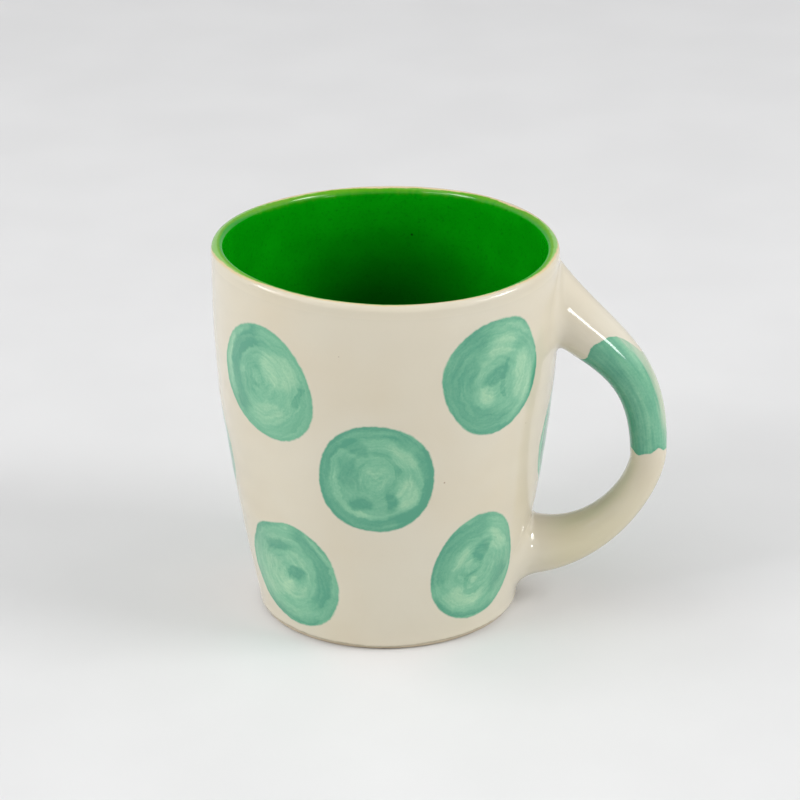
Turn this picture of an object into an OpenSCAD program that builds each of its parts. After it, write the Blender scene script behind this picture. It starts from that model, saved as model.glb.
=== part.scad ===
// Stoneware mug: a thrown cup and a pulled handle, luted together with slip, brush-painted
// with dots and a band in teal, then glazed green inside and clear cream outside.
// The origin is the centre of the foot ring on the table, +Z is up, the handle points to +X.

/* [Cup] */
// Height from the table to the rim
cup_h = 100; // [90:1:110]
// Outer radius at the foot
foot_r = 33.9; // [32:0.1:36]
// Pull on the wall's outline a third of the way up
waist_r = 40.2; // [38:0.1:42]
// Pull on the wall's outline two thirds of the way up
shoulder_r = 46.3; // [44:0.1:48]
// Outer radius at the rim
rim_r = 45; // [43:0.5:48]
// Wall thickness at the rim, which is rounded over
rim_t = 3.2; // [2.6:0.1:4.5]
// Wall thickness at the foot
base_t = 4.8; // [4:0.1:6]
// Height of the inside floor above the table
floor_z = 6; // [5:0.5:9]
// Radius of the inside corner between wall and floor
corner_r = 9; // [5:0.5:12]

/* [Foot] */
// Width of the ring that the mug stands on
ring_w = 6; // [4:0.5:10]
// Depth of the hollow inside the ring
hollow_h = 1.5; // [0.5:0.5:2.5]
// Rounding of the foot's outer edge
foot_round = 0.9; // [0.4:0.1:1]
// Bare height above the table, wiped free of glaze
bare_h = 1.2; // [1:0.1:3]

/* [Handle] */
// Reach of the handle's centreline at its outermost point
handle_x = 68.7; // [64:0.1:74]
// Height of that outermost point
handle_z = 43.5; // [40:0.5:48]
// Distance below the rim at which the upper arm starts, inside the wall
top_drop = 5.5; // [5:0.5:9]
// Height at which the lower arm ends inside the wall
tail_z = 17; // [16.5:0.5:20]
// Half thickness where the upper arm meets the cup
top_half = 10; // [8:0.1:10]
// Half thickness at the outermost point
slim_half = 4.7; // [4:0.1:6]
// Half thickness where the lower arm meets the cup
tail_half = 9.5; // [8:0.1:9.5]
// Width of the handle's section divided by its thickness
widening = 1.15; // [1:0.05:1.4]
// Thickness of the slip pads that lute the handle on
slip_t = 0.6; // [0.5:0.1:0.8]

/* [Glaze and paint] */
// Thickness of the glaze and of the painted patches
glaze_t = 0.35; // [0.3:0.05:0.5]
// Mean radius of the painted dots
dot_r = 15; // [10:0.5:16]
// Place along the handle where the painted band starts
band_from = 0.42; // [0.4:0.01:0.6]
// Place along the handle where the painted band ends
band_to = 0.98; // [0.8:0.01:1.2]

/* [Hidden] */

clay_colour = [0.80, 0.74, 0.62];
slip_colour = [0.72, 0.65, 0.53];
cream = [0.87, 0.85, 0.79];
green = [0.04, 0.50, 0.05];
teal = [0.49, 0.74, 0.63];

$fn = 96;
wall_steps = 16; // straight steps up the wall's outline
arc_step = 15; // degrees between points on a small rounded edge
turn_step = 15; // degrees between points round the handle
dot_step = 9; // degrees between points round a dot
halvings = 24; // steps of each search by halving
past = 5; // how far a cutter runs past what it cuts

// ---------- Outline of the cup ----------

function bezier(p, t) =
    pow(1 - t, 3) * p[0] + 3 * t * pow(1 - t, 2) * p[1]
    + 3 * t * t * (1 - t) * p[2] + pow(t, 3) * p[3];

function bezier_slope(p, t) =
    3 * pow(1 - t, 2) * (p[1] - p[0]) + 6 * t * (1 - t) * (p[2] - p[1])
    + 3 * t * t * (p[3] - p[2]);

// Outer radius of the finished wall at height z
function wall_r(z) = bezier([foot_r, waist_r, shoulder_r, rim_r], z / cup_h);

// Inner radius of the finished wall at height z
function inside_r(z) = wall_r(z) - base_t + (base_t - rim_t) * z / cup_h;

lip_r = rim_t / 2;
lip_z = cup_h - lip_r;
lip_x = wall_r(lip_z) - lip_r;
corner_z = floor_z + corner_r;
corner_x = inside_r(corner_z) - corner_r;

// Points on an arc, from angle a0 to a1 in equal steps
function arc(centre, r, a0, a1) =
    let (n = ceil(abs(a1 - a0) / arc_step))
    [for (i = [0:n]) let (a = a0 + (a1 - a0) * i / n) centre + r * [cos(a), sin(a)]];

// The wall's outer side at depth d below its surface, upwards from z0
function outer_side(d, z0) =
    [for (i = [0:wall_steps]) let (z = z0 + (lip_z - z0) * i / wall_steps) [wall_r(z) - d, z]];

// The inner side at depth d below its surface, downwards from the lip to the floor's centre
function inner_side(d) = concat(
    [for (i = [1:wall_steps]) let (z = lip_z - (lip_z - corner_z) * i / wall_steps)
        [inside_r(z) + d, z]],
    arc([corner_x, corner_z], corner_r + d, -arc_step, -90),
    [[0, floor_z - d]]);

function lip(d, a0, a1) = arc([lip_x, lip_z], lip_r - d, a0, a1);

function backwards(list) = [for (i = [len(list) - 1:-1:0]) list[i]];

module clay_cup() {
    foot_edge_x = wall_r(foot_round) - glaze_t - foot_round;
    ring_in_r = foot_r - ring_w;
    color(clay_colour) rotate_extrude() polygon(concat(
        [[0, hollow_h], [ring_in_r - hollow_h, hollow_h], [ring_in_r, 0]],
        arc([foot_edge_x, foot_round], foot_round, -90, 0),
        outer_side(glaze_t, bare_h),
        lip(glaze_t, arc_step, 180),
        inner_side(glaze_t)));
}

module outer_coat() {
    rotate_extrude() polygon(concat(
        outer_side(0, bare_h), lip(0, arc_step, 90),
        lip(glaze_t, 90, arc_step), backwards(outer_side(glaze_t, bare_h))));
}

module interior_glaze() {
    color(green) rotate_extrude() polygon(concat(
        lip(0, 90, 180), inner_side(0),
        backwards(inner_side(glaze_t)), lip(glaze_t, 180, 90)));
}

// ---------- Painted dots ----------

upper_z = 0.75 * cup_h;
middle_z = 0.5 * cup_h;
lower_z = 0.2 * cup_h;

// Each dot: name, azimuth from -Y towards +X, height, size against the mean, and its ripples.
// A ripple is [waves round the outline, height against the radius, angle of one crest].
DOTS = [
    ["dot_upper_front_left", -36.8, upper_z - 0.9, 1.01, [[2, 0.032, -37], [3, 0.037, -46]]],
    ["dot_upper_front_right", 43.8, upper_z + 1.6, 1.02, [[2, 0.05, -72], [4, 0.015, -20]]],
    ["dot_upper_back_right", 134, upper_z - 1.5, 1.03, [[2, 0.045, 60], [3, 0.02, 10]]],
    ["dot_upper_back_left", 226, upper_z + 1, 0.99, [[2, 0.03, -50], [3, 0.03, 80]]],
    ["dot_middle_front", 3, middle_z + 2.1, 1.01, [[2, 0.02, 88], [4, 0.015, 40]]],
    ["dot_middle_right", 95, middle_z, 1, [[2, 0.035, 75], [3, 0.015, 30]]],
    ["dot_middle_back", 182, middle_z - 2, 1.02, [[2, 0.04, -60], [3, 0.03, 100]]],
    ["dot_middle_left", 274, middle_z - 3, 1, [[2, 0.03, 80], [3, 0.02, -20]]],
    ["dot_lower_front_left", -36.3, lower_z - 0.7, 1.03, [[2, 0.023, 32], [3, 0.039, -57]]],
    ["dot_lower_front_right", 43.6, lower_z + 1.6, 0.97, [[2, 0.1, -79], [3, 0.03, -35]]],
    ["dot_lower_back_right", 137, lower_z - 0.5, 1, [[2, 0.06, 70], [3, 0.02, 50]]],
    ["dot_lower_back_left", 224, lower_z + 1, 0.98, [[2, 0.05, -75], [3, 0.025, 15]]]];

// Sum of the ripples at angle a
function ripple(waves, a, i = 0) =
    i == len(waves) ? 0
    : waves[i][1] * cos(waves[i][0] * (a - waves[i][2])) + ripple(waves, a, i + 1);

// A solid that reaches out from the cup's axis through the whole of one dot
module dot_cutter(dot) {
    bend_r = wall_r(dot[2]);
    outline = [for (a = [0:dot_step:359])
        let (r = dot_r * dot[3] * (1 + ripple(dot[4], a)))
        [bend_r * sin(r * cos(a) / bend_r * 180 / PI), r * sin(a)]];
    translate([0, 0, dot[2]])
        rotate([90, 0, dot[1]])
            linear_extrude(rim_r + past) polygon(outline);
}

module painted_dot(dot) {
    color(teal) intersection() {
        outer_coat();
        dot_cutter(dot);
    }
}

// ---------- Handle ----------

// Control points [x, z, half thickness] of the handle's centreline. Place 0 to 1 is the upper
// arm, from inside the wall to the outermost point, and 1 to 2 is the lower arm, back to the wall.
top_z = cup_h - top_drop;
UPPER_ARM = [[34, top_z, top_half], [51.5, top_z - 22, 6.8], [handle_x, handle_z + 30, 5.5],
             [handle_x, handle_z, slim_half]];
LOWER_ARM = [[handle_x, handle_z, slim_half], [handle_x, handle_z - 9.5, 4.1],
             [54.5, tail_z - 6, 4.9], [30, tail_z, tail_half]];

// Each joint: place inside the wall, place clear of it, and the width of the fillet that blends
// the handle into the wall on the loop's side and on the far side
UPPER_JOINT = [0, 0.6, 2, 1.5];
LOWER_JOINT = [2, 1.4, 1.2, 4.5];

upper_rings = 5;
band_rings = 8;
lower_rings = 9;
fillet_rings = 4;
turns = [0:turn_step:359];
turn_count = 360 / turn_step;

function arm_at(s) = s < 1 ? bezier(UPPER_ARM, s) : bezier(LOWER_ARM, s - 1);
function slope_at(s) = s < 1 ? bezier_slope(UPPER_ARM, s) : bezier_slope(LOWER_ARM, s - 1);
function speed_at(s) = norm([slope_at(s)[0], slope_at(s)[1]]);

// Point on the handle at place s and turn a (0 faces away from the loop), d below its surface
function arm_point(s, a, d) =
    let (c = arm_at(s), m = slope_at(s) / speed_at(s), out = (c[2] - d) * cos(a))
    [c[0] - out * m[1], (c[2] * widening - d) * sin(a), c[1] + out * m[0]];

// How far a point is outside the cup's surface at depth d
function clear_of_wall(p, d) = norm([p[0], p[1]]) - wall_r(p[2]) + d;

// Point on the cup at depth d, with the given y and z
function on_wall(y, z, d) = [sqrt(pow(wall_r(z) - d, 2) - y * y), y, z];

// Place where the line along the handle at turn a goes through the cup's surface
function meeting(joint, a, d) = meeting_between(joint[0], joint[1], a, d, halvings);
function meeting_between(s_in, s_out, a, d, n) =
    let (s = (s_in + s_out) / 2)
    n == 0 ? s
    : clear_of_wall(arm_point(s, a, d), d) < 0 ? meeting_between(s, s_out, a, d, n - 1)
    : meeting_between(s_in, s, a, d, n - 1);

function joint_z(joint) = (arm_point(meeting(joint, 0, 0), 0, 0)[2]
    + arm_point(meeting(joint, 180, 0), 180, 0)[2]) / 2;

function fillet_w(joint, a) = joint[2] + (joint[3] - joint[2]) * (1 + cos(a)) / 2;

// Place where the fillet leaves the handle
function fillet_start(joint, a, d) =
    let (s = meeting(joint, a, d))
    s + sign(joint[1] - joint[0]) * fillet_w(joint, a) / speed_at(s);

// [y, z] where the fillet runs out on the wall
function footprint(joint, a) =
    let (q = arm_point(meeting(joint, a, 0), a, 0), from = [0, joint_z(joint)],
         to = [q[1], q[2]])
    to + fillet_w(joint, a) * (to - from) / norm(to - from);

// Point on the fillet: u = 0 on the wall, u = 1 on the handle
function fillet_point(joint, a, d, u) =
    let (f = footprint(joint, a), p0 = on_wall(f[0], f[1], d),
         p1 = arm_point(meeting(joint, a, d), a, d),
         p2 = arm_point(fillet_start(joint, a, d), a, d))
    pow(1 - u, 2) * p0 + 2 * u * (1 - u) * p1 + u * u * p2;

// u at which the clay's fillet rises slip_t above the clay wall
function slip_u(joint, a) = slip_u_between(joint, a, 0, 1, halvings);
function slip_u_between(joint, a, low, high, n) =
    let (u = (low + high) / 2)
    n == 0 ? u
    : clear_of_wall(fillet_point(joint, a, glaze_t, u), glaze_t) < slip_t
        ? slip_u_between(joint, a, u, high, n - 1)
    : slip_u_between(joint, a, low, u, n - 1);

// Rings of points, from the wall outwards: first those beside the slip, then the rest
function slip_rings(joint, d) =
    [for (i = [0:2]) [for (a = turns) fillet_point(joint, a, d, slip_u(joint, a) * i / 2)]];
function fillet_rings_of(joint, d) =
    [for (i = [1:fillet_rings]) [for (a = turns)
        let (u = slip_u(joint, a))
        fillet_point(joint, a, d, u + (1 - u) * i / fillet_rings)]];

// The painted band starts later along the far side of the arm, and both ends waver
function band_start(a) = band_from + 0.19 * pow(max(0, cos(a)), 6) + 0.01 * sin(5 * a);
function band_end(a) = band_to + 0.01 * sin(3 * a + 80) + 0.01 * sin(7 * a);

function between(from_s, to_s, d, n, first) =
    [for (i = [first:n]) [for (k = [0:turn_count - 1])
        arm_point(from_s[k] + (to_s[k] - from_s[k]) * i / n, k * turn_step, d)]];

upper_start = [for (a = turns) fillet_start(UPPER_JOINT, a, 0)];
lower_start = [for (a = turns) fillet_start(LOWER_JOINT, a, 0)];
clay_upper_start = [for (a = turns) fillet_start(UPPER_JOINT, a, glaze_t)];
clay_lower_start = [for (a = turns) fillet_start(LOWER_JOINT, a, glaze_t)];
band_starts = [for (a = turns) band_start(a)];
band_ends = [for (a = turns) band_end(a)];

function upper_arm_rings(d, starts) = between(starts, band_starts, d, upper_rings, 1);
function band_arm_rings(d, first) = between(band_starts, band_ends, d, band_rings, first);
function lower_arm_rings(d, starts) = between(starts, band_ends, d, lower_rings, 1);

// Rings that close an end on the cup's surface, from the joint's centre outwards
function cap_rings(joint, ring, d) =
    [for (f = [0.05, 0.35, 0.7]) [for (p = ring)
        on_wall(f * p[1], joint_z(joint) + f * (p[2] - joint_z(joint)), d)]];

// Triangles between neighbouring rings of n points
function band_faces(rows, n, wrap) =
    [for (i = [0:rows - (wrap ? 1 : 2)]) for (j = [0:n - 1])
        let (a = i * n + j, b = i * n + (j + 1) % n,
             c = ((i + 1) % rows) * n + (j + 1) % n, e = ((i + 1) % rows) * n + j)
        each [[a, b, c], [a, c, e]]];

function joined(rings) = [for (ring = rings) each ring];

// A closed tube wall: rings out along its outside and back along its inside
module tube_wall(outside, inside) {
    rings = concat(outside, backwards(inside));
    polyhedron(joined(rings), band_faces(len(rings), turn_count, true), 4);
}

// A solid skinned over rings and closed by its first and last ring
module solid_of(rings) {
    n = turn_count;
    last = len(rings) * n;
    polyhedron(joined(rings), concat(
        band_faces(len(rings), n, false),
        [backwards([for (j = [0:n - 1]) j])],
        [[for (j = [0:n - 1]) last - n + j]]), 4);
}

function clay_end(joint) =
    let (edge = slip_rings(joint, glaze_t)[2])
    concat(cap_rings(joint, edge, glaze_t - slip_t), [edge], fillet_rings_of(joint, glaze_t));

module clay_handle() {
    color(clay_colour) solid_of(concat(
        clay_end(UPPER_JOINT),
        upper_arm_rings(glaze_t, clay_upper_start),
        band_arm_rings(glaze_t, 1),
        backwards(concat(clay_end(LOWER_JOINT), lower_arm_rings(glaze_t, clay_lower_start)))));
}

module slip_pad(joint) {
    sides = slip_rings(joint, glaze_t);
    rings = concat(
        cap_rings(joint, sides[0], glaze_t), sides,
        backwards(cap_rings(joint, sides[2], glaze_t - slip_t)));
    color(slip_colour) solid_of(joint == UPPER_JOINT ? rings : backwards(rings));
}

function glaze_end(joint, d) = concat(slip_rings(joint, d), fillet_rings_of(joint, d));

module handle_glaze() {
    color(cream) {
        tube_wall(
            concat(glaze_end(UPPER_JOINT, 0), upper_arm_rings(0, upper_start)),
            concat(glaze_end(UPPER_JOINT, glaze_t), upper_arm_rings(glaze_t, clay_upper_start)));
        tube_wall(
            backwards(concat(glaze_end(LOWER_JOINT, 0), lower_arm_rings(0, lower_start))),
            backwards(concat(glaze_end(LOWER_JOINT, glaze_t),
                             lower_arm_rings(glaze_t, clay_lower_start))));
    }
}

module handle_brush_band() {
    color(teal) tube_wall(band_arm_rings(0, 0), band_arm_rings(glaze_t, 0));
}

// A solid along +X through everything that a joint covers on the wall
module joint_cutter(joint) {
    outline = [for (a = turns) footprint(joint, a)];
    rotate([90, 0, 90]) linear_extrude(rim_r + past) polygon(outline);
}

module exterior_glaze() {
    color(cream) difference() {
        outer_coat();
        for (dot = DOTS) dot_cutter(dot);
        joint_cutter(UPPER_JOINT);
        joint_cutter(LOWER_JOINT);
    }
}

clay_cup();
clay_handle();
slip_pad(UPPER_JOINT);  // upper_slip_joint
slip_pad(LOWER_JOINT);  // lower_slip_joint
interior_glaze();
exterior_glaze();
handle_glaze();
handle_brush_band();
for (dot = DOTS) painted_dot(dot);
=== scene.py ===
"""Looks for a hand-painted stoneware mug: thrown clay, glazes, brushed teal dots and a band on the handle.

Lengths in the geometry are millimetres, turned into metres when a mesh is made. Angles round the cup
run from +X (the handle) towards +Y, and azimuths, as in the CAD source, from -Y (the front) towards +X.
"""

import math

import bpy
import numpy as np
from mathutils import Matrix, Vector


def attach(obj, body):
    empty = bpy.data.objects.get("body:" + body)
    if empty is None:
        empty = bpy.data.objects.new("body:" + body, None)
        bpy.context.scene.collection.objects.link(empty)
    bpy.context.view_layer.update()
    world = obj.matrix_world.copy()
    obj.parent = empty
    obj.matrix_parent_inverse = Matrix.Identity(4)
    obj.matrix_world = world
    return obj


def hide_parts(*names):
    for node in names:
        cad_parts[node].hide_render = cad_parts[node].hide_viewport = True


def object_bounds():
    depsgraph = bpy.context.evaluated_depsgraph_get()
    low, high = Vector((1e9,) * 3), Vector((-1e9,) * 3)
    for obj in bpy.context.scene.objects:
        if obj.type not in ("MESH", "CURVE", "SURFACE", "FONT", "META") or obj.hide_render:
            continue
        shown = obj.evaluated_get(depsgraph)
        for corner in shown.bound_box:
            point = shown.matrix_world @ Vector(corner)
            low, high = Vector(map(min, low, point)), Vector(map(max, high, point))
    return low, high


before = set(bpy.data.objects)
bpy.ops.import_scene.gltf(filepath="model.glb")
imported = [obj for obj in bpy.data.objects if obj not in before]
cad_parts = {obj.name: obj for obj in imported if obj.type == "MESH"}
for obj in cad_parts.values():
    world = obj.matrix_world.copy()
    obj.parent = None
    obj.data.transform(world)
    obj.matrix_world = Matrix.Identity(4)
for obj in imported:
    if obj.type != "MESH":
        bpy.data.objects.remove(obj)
CAD_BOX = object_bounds()
MM = 0.001

# ---------- Sizes, first the driving sizes of the CAD source ----------

CUP_H = CAD_BOX[1].z / MM
WALL = (33.9, 40.2, 46.3, 45.0)  # outer radius: foot, two pulls on the outline, rim
RIM_T = 3.2
BASE_T = 4.8
FLOOR_Z = 6.0
CORNER_R = 9.0
RING_W = 6.0
HOLLOW_H = 1.5
FOOT_ROUND = 0.9
GLAZE_T = 0.35
DOT_R = 15.0

# Sizes that only this model has
GLAZE_LINE = 1.0  # mean height at which the outside glaze stops, 0.2 mm lower than in the CAD source
UNDERSIDE_RISE = 0.25  # how much deeper the hollow under the foot is near its edge than in the middle
CORNER_EASE = 2  # how far the curve of the inside corner runs past its radius
PROUD = 0.03  # how far the painted patches and the green over the lip stand out of the cream glaze
SUNK = 0.05  # how far the outermost edge of a painted patch dips into the glaze
TYPICAL_R = 40  # turns a short distance round the wall into an angle

LIP_R = RIM_T / 2
LIP_Z = CUP_H - LIP_R


def bezier(p, t):
    """The cubic Bezier curve through four control values, or rows of values, at t."""
    return p[0] * (1 - t) ** 3 + 3 * p[1] * t * (1 - t) ** 2 + 3 * p[2] * t * t * (1 - t) + p[3] * t**3


def bezier_slope(p, t):
    """The curve's derivative at t."""
    return (
        3 * (p[1] - p[0]) * (1 - t) ** 2
        + 6 * (p[2] - p[1]) * t * (1 - t)
        + 3 * (p[3] - p[2]) * t * t
    )


def wall_r(z):
    """Outer radius of a perfectly round cup at height z."""
    return bezier(WALL, z / CUP_H)


def inside_r(z):
    """Inner radius of the same cup at height z, above the inside corner."""
    return wall_r(z) - BASE_T + (BASE_T - RIM_T) * z / CUP_H


def smooth(x, low, high):
    """0 at low, 1 at high, with an S-shaped rise between them."""
    t = np.clip((x - low) / (high - low), 0, 1)
    return t * t * (3 - 2 * t)


# ---------- The cup's section ----------

def cup_section():
    """[r, z, outward r, outward z] along the glazed outline: up the outside, over the lip, down
    the inside and across the floor to the axis."""
    z = np.linspace(0, LIP_Z, 160)
    outer = np.stack([wall_r(z), z], 1)
    lip_x = wall_r(LIP_Z) - LIP_R
    turn = np.radians(np.linspace(0, 180, 61))[1:]
    lip = np.stack([lip_x + LIP_R * np.cos(turn), LIP_Z + LIP_R * np.sin(turn)], 1)
    bend_z = FLOOR_Z + CORNER_R + CORNER_EASE
    z = np.linspace(LIP_Z, bend_z, 140)[1:]
    inner = np.stack([inside_r(z), z], 1)
    lean = inside_r(bend_z + 1) - inside_r(bend_z)
    floor_r = inside_r(bend_z) - CORNER_R - CORNER_EASE
    pull = 0.55 * CORNER_R + 1
    corner_points = np.array([
        [inside_r(bend_z), bend_z],
        [inside_r(bend_z) - lean * pull, bend_z - pull],
        [floor_r + pull, FLOOR_Z],
        [floor_r, FLOOR_Z],
    ])
    t = np.linspace(0, 1, 40)[1:, None]
    corner = bezier(corner_points, t)
    r = np.linspace(floor_r, 0, 40)[1:]
    floor = np.stack([r, np.full_like(r, FLOOR_Z)], 1)
    line = np.concatenate([outer, lip, inner, corner, floor])
    tangent = np.gradient(line, axis=0)
    tangent /= np.linalg.norm(tangent, axis=1, keepdims=True)
    return np.column_stack([line, tangent[:, 1], -tangent[:, 0]])


def reach_along(section):
    """Distance along the section from the top of the lip: below zero outside, above zero inside."""
    steps = np.linalg.norm(np.diff(section[:, :2], axis=0), axis=1)
    along = np.concatenate([[0], np.cumsum(steps)])
    return along - along[np.argmax(section[:, 1])]


SECTION = cup_section()
REACH = reach_along(SECTION)
OUTER = REACH < -math.pi / 2 * LIP_R


def reach_at(z):
    """Place along the section of height z on the outside."""
    return np.interp(z, SECTION[OUTER, 1], REACH[OUTER])


# ---------- What the hand left: an uneven rim, a slight lean and a soft waviness ----------

RIM_OUT = ((2, 112, 1.10), (3, -22, 1.16))  # waves round the rim, angle of a crest, mm outwards
RIM_UP = ((1, 177, 0.57), (2, 18, 1.24))  # the same, mm upwards
RIM_FADE = 2.5  # power of the height with which the rim's waves die away towards the foot
LEAN, LEAN_TO = 0.57, 7.0  # mm that the rim leans, and the direction
# Soft waviness of the wall: waves round it, turn of a crest per mm up, its start, and mm outwards
THROWING = ((2, 0.11, 0.4, 0.07), (3, -0.17, 2.0, 0.05), (5, 0.31, 4.1, 0.03), (0, 0.83, 1.0, 0.025))


def waves(phi, crests):
    """Sum of waves round a circle at angle phi, each given as (count, angle of a crest, size)."""
    return sum(size * np.cos(count * (phi - math.radians(crest))) for count, crest, size in crests)


def place(phi, r, z):
    """Where the point at angle phi, radius r and height z of a true cup is on this one."""
    up = np.clip(z / CUP_H, 0, 1)
    share = up**RIM_FADE
    ripple = sum(size * np.sin(n * phi + k * z + start) for n, k, start, size in THROWING)
    clear_of_foot_and_axis = np.minimum(1, up * 20) * np.clip(r / 30, 0, 1)
    r = r + share * waves(phi, RIM_OUT) + ripple * clear_of_foot_and_axis
    z = z + share * waves(phi, RIM_UP)
    lean = LEAN * up
    return np.stack([
        r * np.cos(phi) + lean * math.cos(math.radians(LEAN_TO)),
        r * np.sin(phi) + lean * math.sin(math.radians(LEAN_TO)),
        z,
    ], -1)


def skin(phi, reach, depth=0.0):
    """Point on the cup's glazed surface at angle phi and place reach, depth below the surface."""
    r, z, out_r, out_z = (np.interp(reach, REACH, column) for column in SECTION.T)
    return place(phi, r - depth * out_r, z - depth * out_z)


def skin_normal(phi, reach):
    """Outward unit direction of the glazed surface."""
    step = 0.15
    across = skin(phi + step / TYPICAL_R, reach) - skin(phi - step / TYPICAL_R, reach)
    along = skin(phi, reach + step) - skin(phi, reach - step)
    normal = np.cross(across, along)
    return normal / np.maximum(np.linalg.norm(normal, axis=-1, keepdims=True), 1e-9)


def uneven_r(phi, z):
    """Distance of the uneven wall from the axis at angle phi and height z."""
    true_z = z - np.clip(z / CUP_H, 0, 1) ** RIM_FADE * waves(phi, RIM_UP)
    p = place(phi, wall_r(true_z), true_z)
    return np.hypot(p[..., 0], p[..., 1])


# ---------- Meshes ----------

def mesh_piece(name, points, closed=True, normals=None, attributes=None):
    """A smooth piece skinned over points[column, row], in mm. Columns wrap round. Rows wrap too if
    closed, and otherwise the first and last rows are single points that close the ends."""
    columns, rows = points.shape[:2]
    number = np.arange(columns * rows).reshape(columns, rows)
    if not closed:
        number[:, 0] = number[0, 0]
        number[:, -1] = number[0, -1]
    used, flat = np.unique(number, return_inverse=True)
    number = flat.reshape(columns, rows)
    below = number if closed else number[:, :-1]
    above = np.roll(number, -1, axis=1) if closed else number[:, 1:]
    corners = [below, np.roll(below, -1, axis=0), np.roll(above, -1, axis=0), above]
    quads = np.stack(corners, -1).reshape(-1, 4)
    faces = [list(dict.fromkeys(quad)) for quad in quads.tolist()]
    mesh = bpy.data.meshes.new(name)
    co = points.reshape(-1, 3)[used] * MM
    mesh.from_pydata(co.tolist(), [], faces)
    mesh.update()
    if inside_out(co, quads):
        mesh.flip_normals()
    mesh.polygons.foreach_set("use_smooth", np.ones(len(faces), bool))
    for key, values in (attributes or {}).items():
        values = np.asarray(values, np.float32)
        kind = "FLOAT_VECTOR" if values.ndim == 3 else "FLOAT"
        layer = mesh.attributes.new(key, kind, "POINT")
        flat_values = values.reshape(columns * rows, -1)[used].ravel()
        layer.data.foreach_set("vector" if kind == "FLOAT_VECTOR" else "value", flat_values)
    if normals is not None:
        mesh.normals_split_custom_set_from_vertices(normals.reshape(-1, 3)[used].tolist())
    piece = bpy.data.objects.new(name, mesh)
    bpy.context.scene.collection.objects.link(piece)
    return piece


def inside_out(co, quads):
    """Whether a closed mesh's faces look inwards, from the sign of the volume they enclose."""
    a, b, c, d = (co[quads[:, k]] for k in range(4))
    volume = np.einsum("ij,ij->", a, np.cross(b, c)) + np.einsum("ij,ij->", a, np.cross(c, d))
    return volume < 0


def grid_normals(points):
    """Outward normals of an open sheet points[column, row] whose columns wrap round."""
    across = np.roll(points, -1, axis=0) - np.roll(points, 1, axis=0)
    along = np.gradient(points, axis=1)
    normal = np.cross(across, along)
    return normal / np.maximum(np.linalg.norm(normal, axis=-1, keepdims=True), 1e-9)


def both_sides(front, back):
    """Rows of a closed sheet: along the front and back along the other side."""
    return np.concatenate([front, back[:, ::-1]], axis=1)


def round_angles(count):
    """Angles at equal steps round a circle, as a column."""
    return np.linspace(0, 2 * math.pi, count, endpoint=False)[:, None]


# ---------- Node materials ----------

VECTOR, VALUE = 1, 2  # outputs of an Attribute node


class Nodes:
    """The nodes of a tree. Each method adds a node and returns its output."""

    def __init__(self, tree):
        self.tree = tree

    def node(self, kind, inputs, output=0, **settings):
        made = self.tree.nodes.new("ShaderNode" + kind)
        for key, value in settings.items():
            setattr(made, key, value)
        for key, value in inputs.items():
            self.feed(made.inputs[key], value)
        return made.outputs[output]

    def feed(self, socket, value):
        if isinstance(value, bpy.types.NodeSocket):
            self.tree.links.new(value, socket)
        else:
            socket.default_value = value

    def math(self, operation, a, b=0.0, c=0.0):
        return self.node("Math", {0: a, 1: b, 2: c}, operation=operation)

    def vector(self, operation, a, b=(0, 0, 0)):
        output = 1 if operation in ("LENGTH", "DISTANCE", "DOT_PRODUCT") else 0
        return self.node("VectorMath", {0: a, 1: b}, output, operation=operation)

    def scaled(self, vector, scale):
        return self.node("VectorMath", {0: vector, "Scale": scale}, operation="SCALE")

    def fade(self, value, low, high, bottom=0.0, top=1.0):
        """bottom where value is at low, top where it is at high, and a smooth change between."""
        sockets = {0: value, 1: low, 2: high, 3: bottom, 4: top}
        return self.node("MapRange", sockets, interpolation_type="SMOOTHSTEP")

    def noise(self, vector, scale, detail=2.0, roughness=0.5, output=0):
        sockets = {"Vector": vector, "Scale": scale, "Detail": detail, "Roughness": roughness}
        return self.node("TexNoise", sockets, output)

    def mix(self, factor, a, b):
        """Colour a where factor is 0 and b where it is 1."""
        a = (*a, 1) if isinstance(a, tuple) else a
        b = (*b, 1) if isinstance(b, tuple) else b
        return self.node("Mix", {0: factor, 6: a, 7: b}, 2, data_type="RGBA")

    def ramp(self, value, stops):
        """Colour from a list of (place, colour)."""
        made = self.tree.nodes.new("ShaderNodeValToRGB")
        self.feed(made.inputs[0], value)
        elements = made.color_ramp.elements
        while len(elements) < len(stops):
            elements.new(0.5)
        for element, (position, colour) in zip(elements, stops):
            element.position = position
            element.color = (*colour, 1)
        return made.outputs[0]

    def axes(self, vector):
        split = self.tree.nodes.new("ShaderNodeSeparateXYZ")
        self.feed(split.inputs[0], vector)
        return split.outputs[0], split.outputs[1], split.outputs[2]

    def joined(self, x, y, z):
        return self.node("CombineXYZ", {0: x, 1: y, 2: z})

    def position(self):
        """Object coordinates in millimetres."""
        return self.scaled(self.node("TexCoord", {}, 3), 1 / MM)

    def attribute(self, name, output):
        return self.node("Attribute", {}, output, attribute_name=name)

    def bump(self, height, distance):
        """Bump from a height socket of 0 to 1, distance in mm."""
        return self.node("Bump", {"Height": height, "Distance": distance * MM, "Strength": 1.0})


class Shader(Nodes):
    """A material's nodes."""

    def __init__(self, name):
        self.material = bpy.data.materials.new(name)
        self.material.use_nodes = True
        super().__init__(self.material.node_tree)
        self.surface = self.tree.nodes["Principled BSDF"]

    def finish(self, colour, roughness, normal=None, **sockets):
        self.feed(self.surface.inputs["Base Color"], colour)
        self.feed(self.surface.inputs["Roughness"], roughness)
        if normal is not None:
            self.feed(self.surface.inputs["Normal"], normal)
        for name, value in sockets.items():
            self.surface.inputs[name.replace("_", " ")].default_value = value
        return self.material


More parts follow.
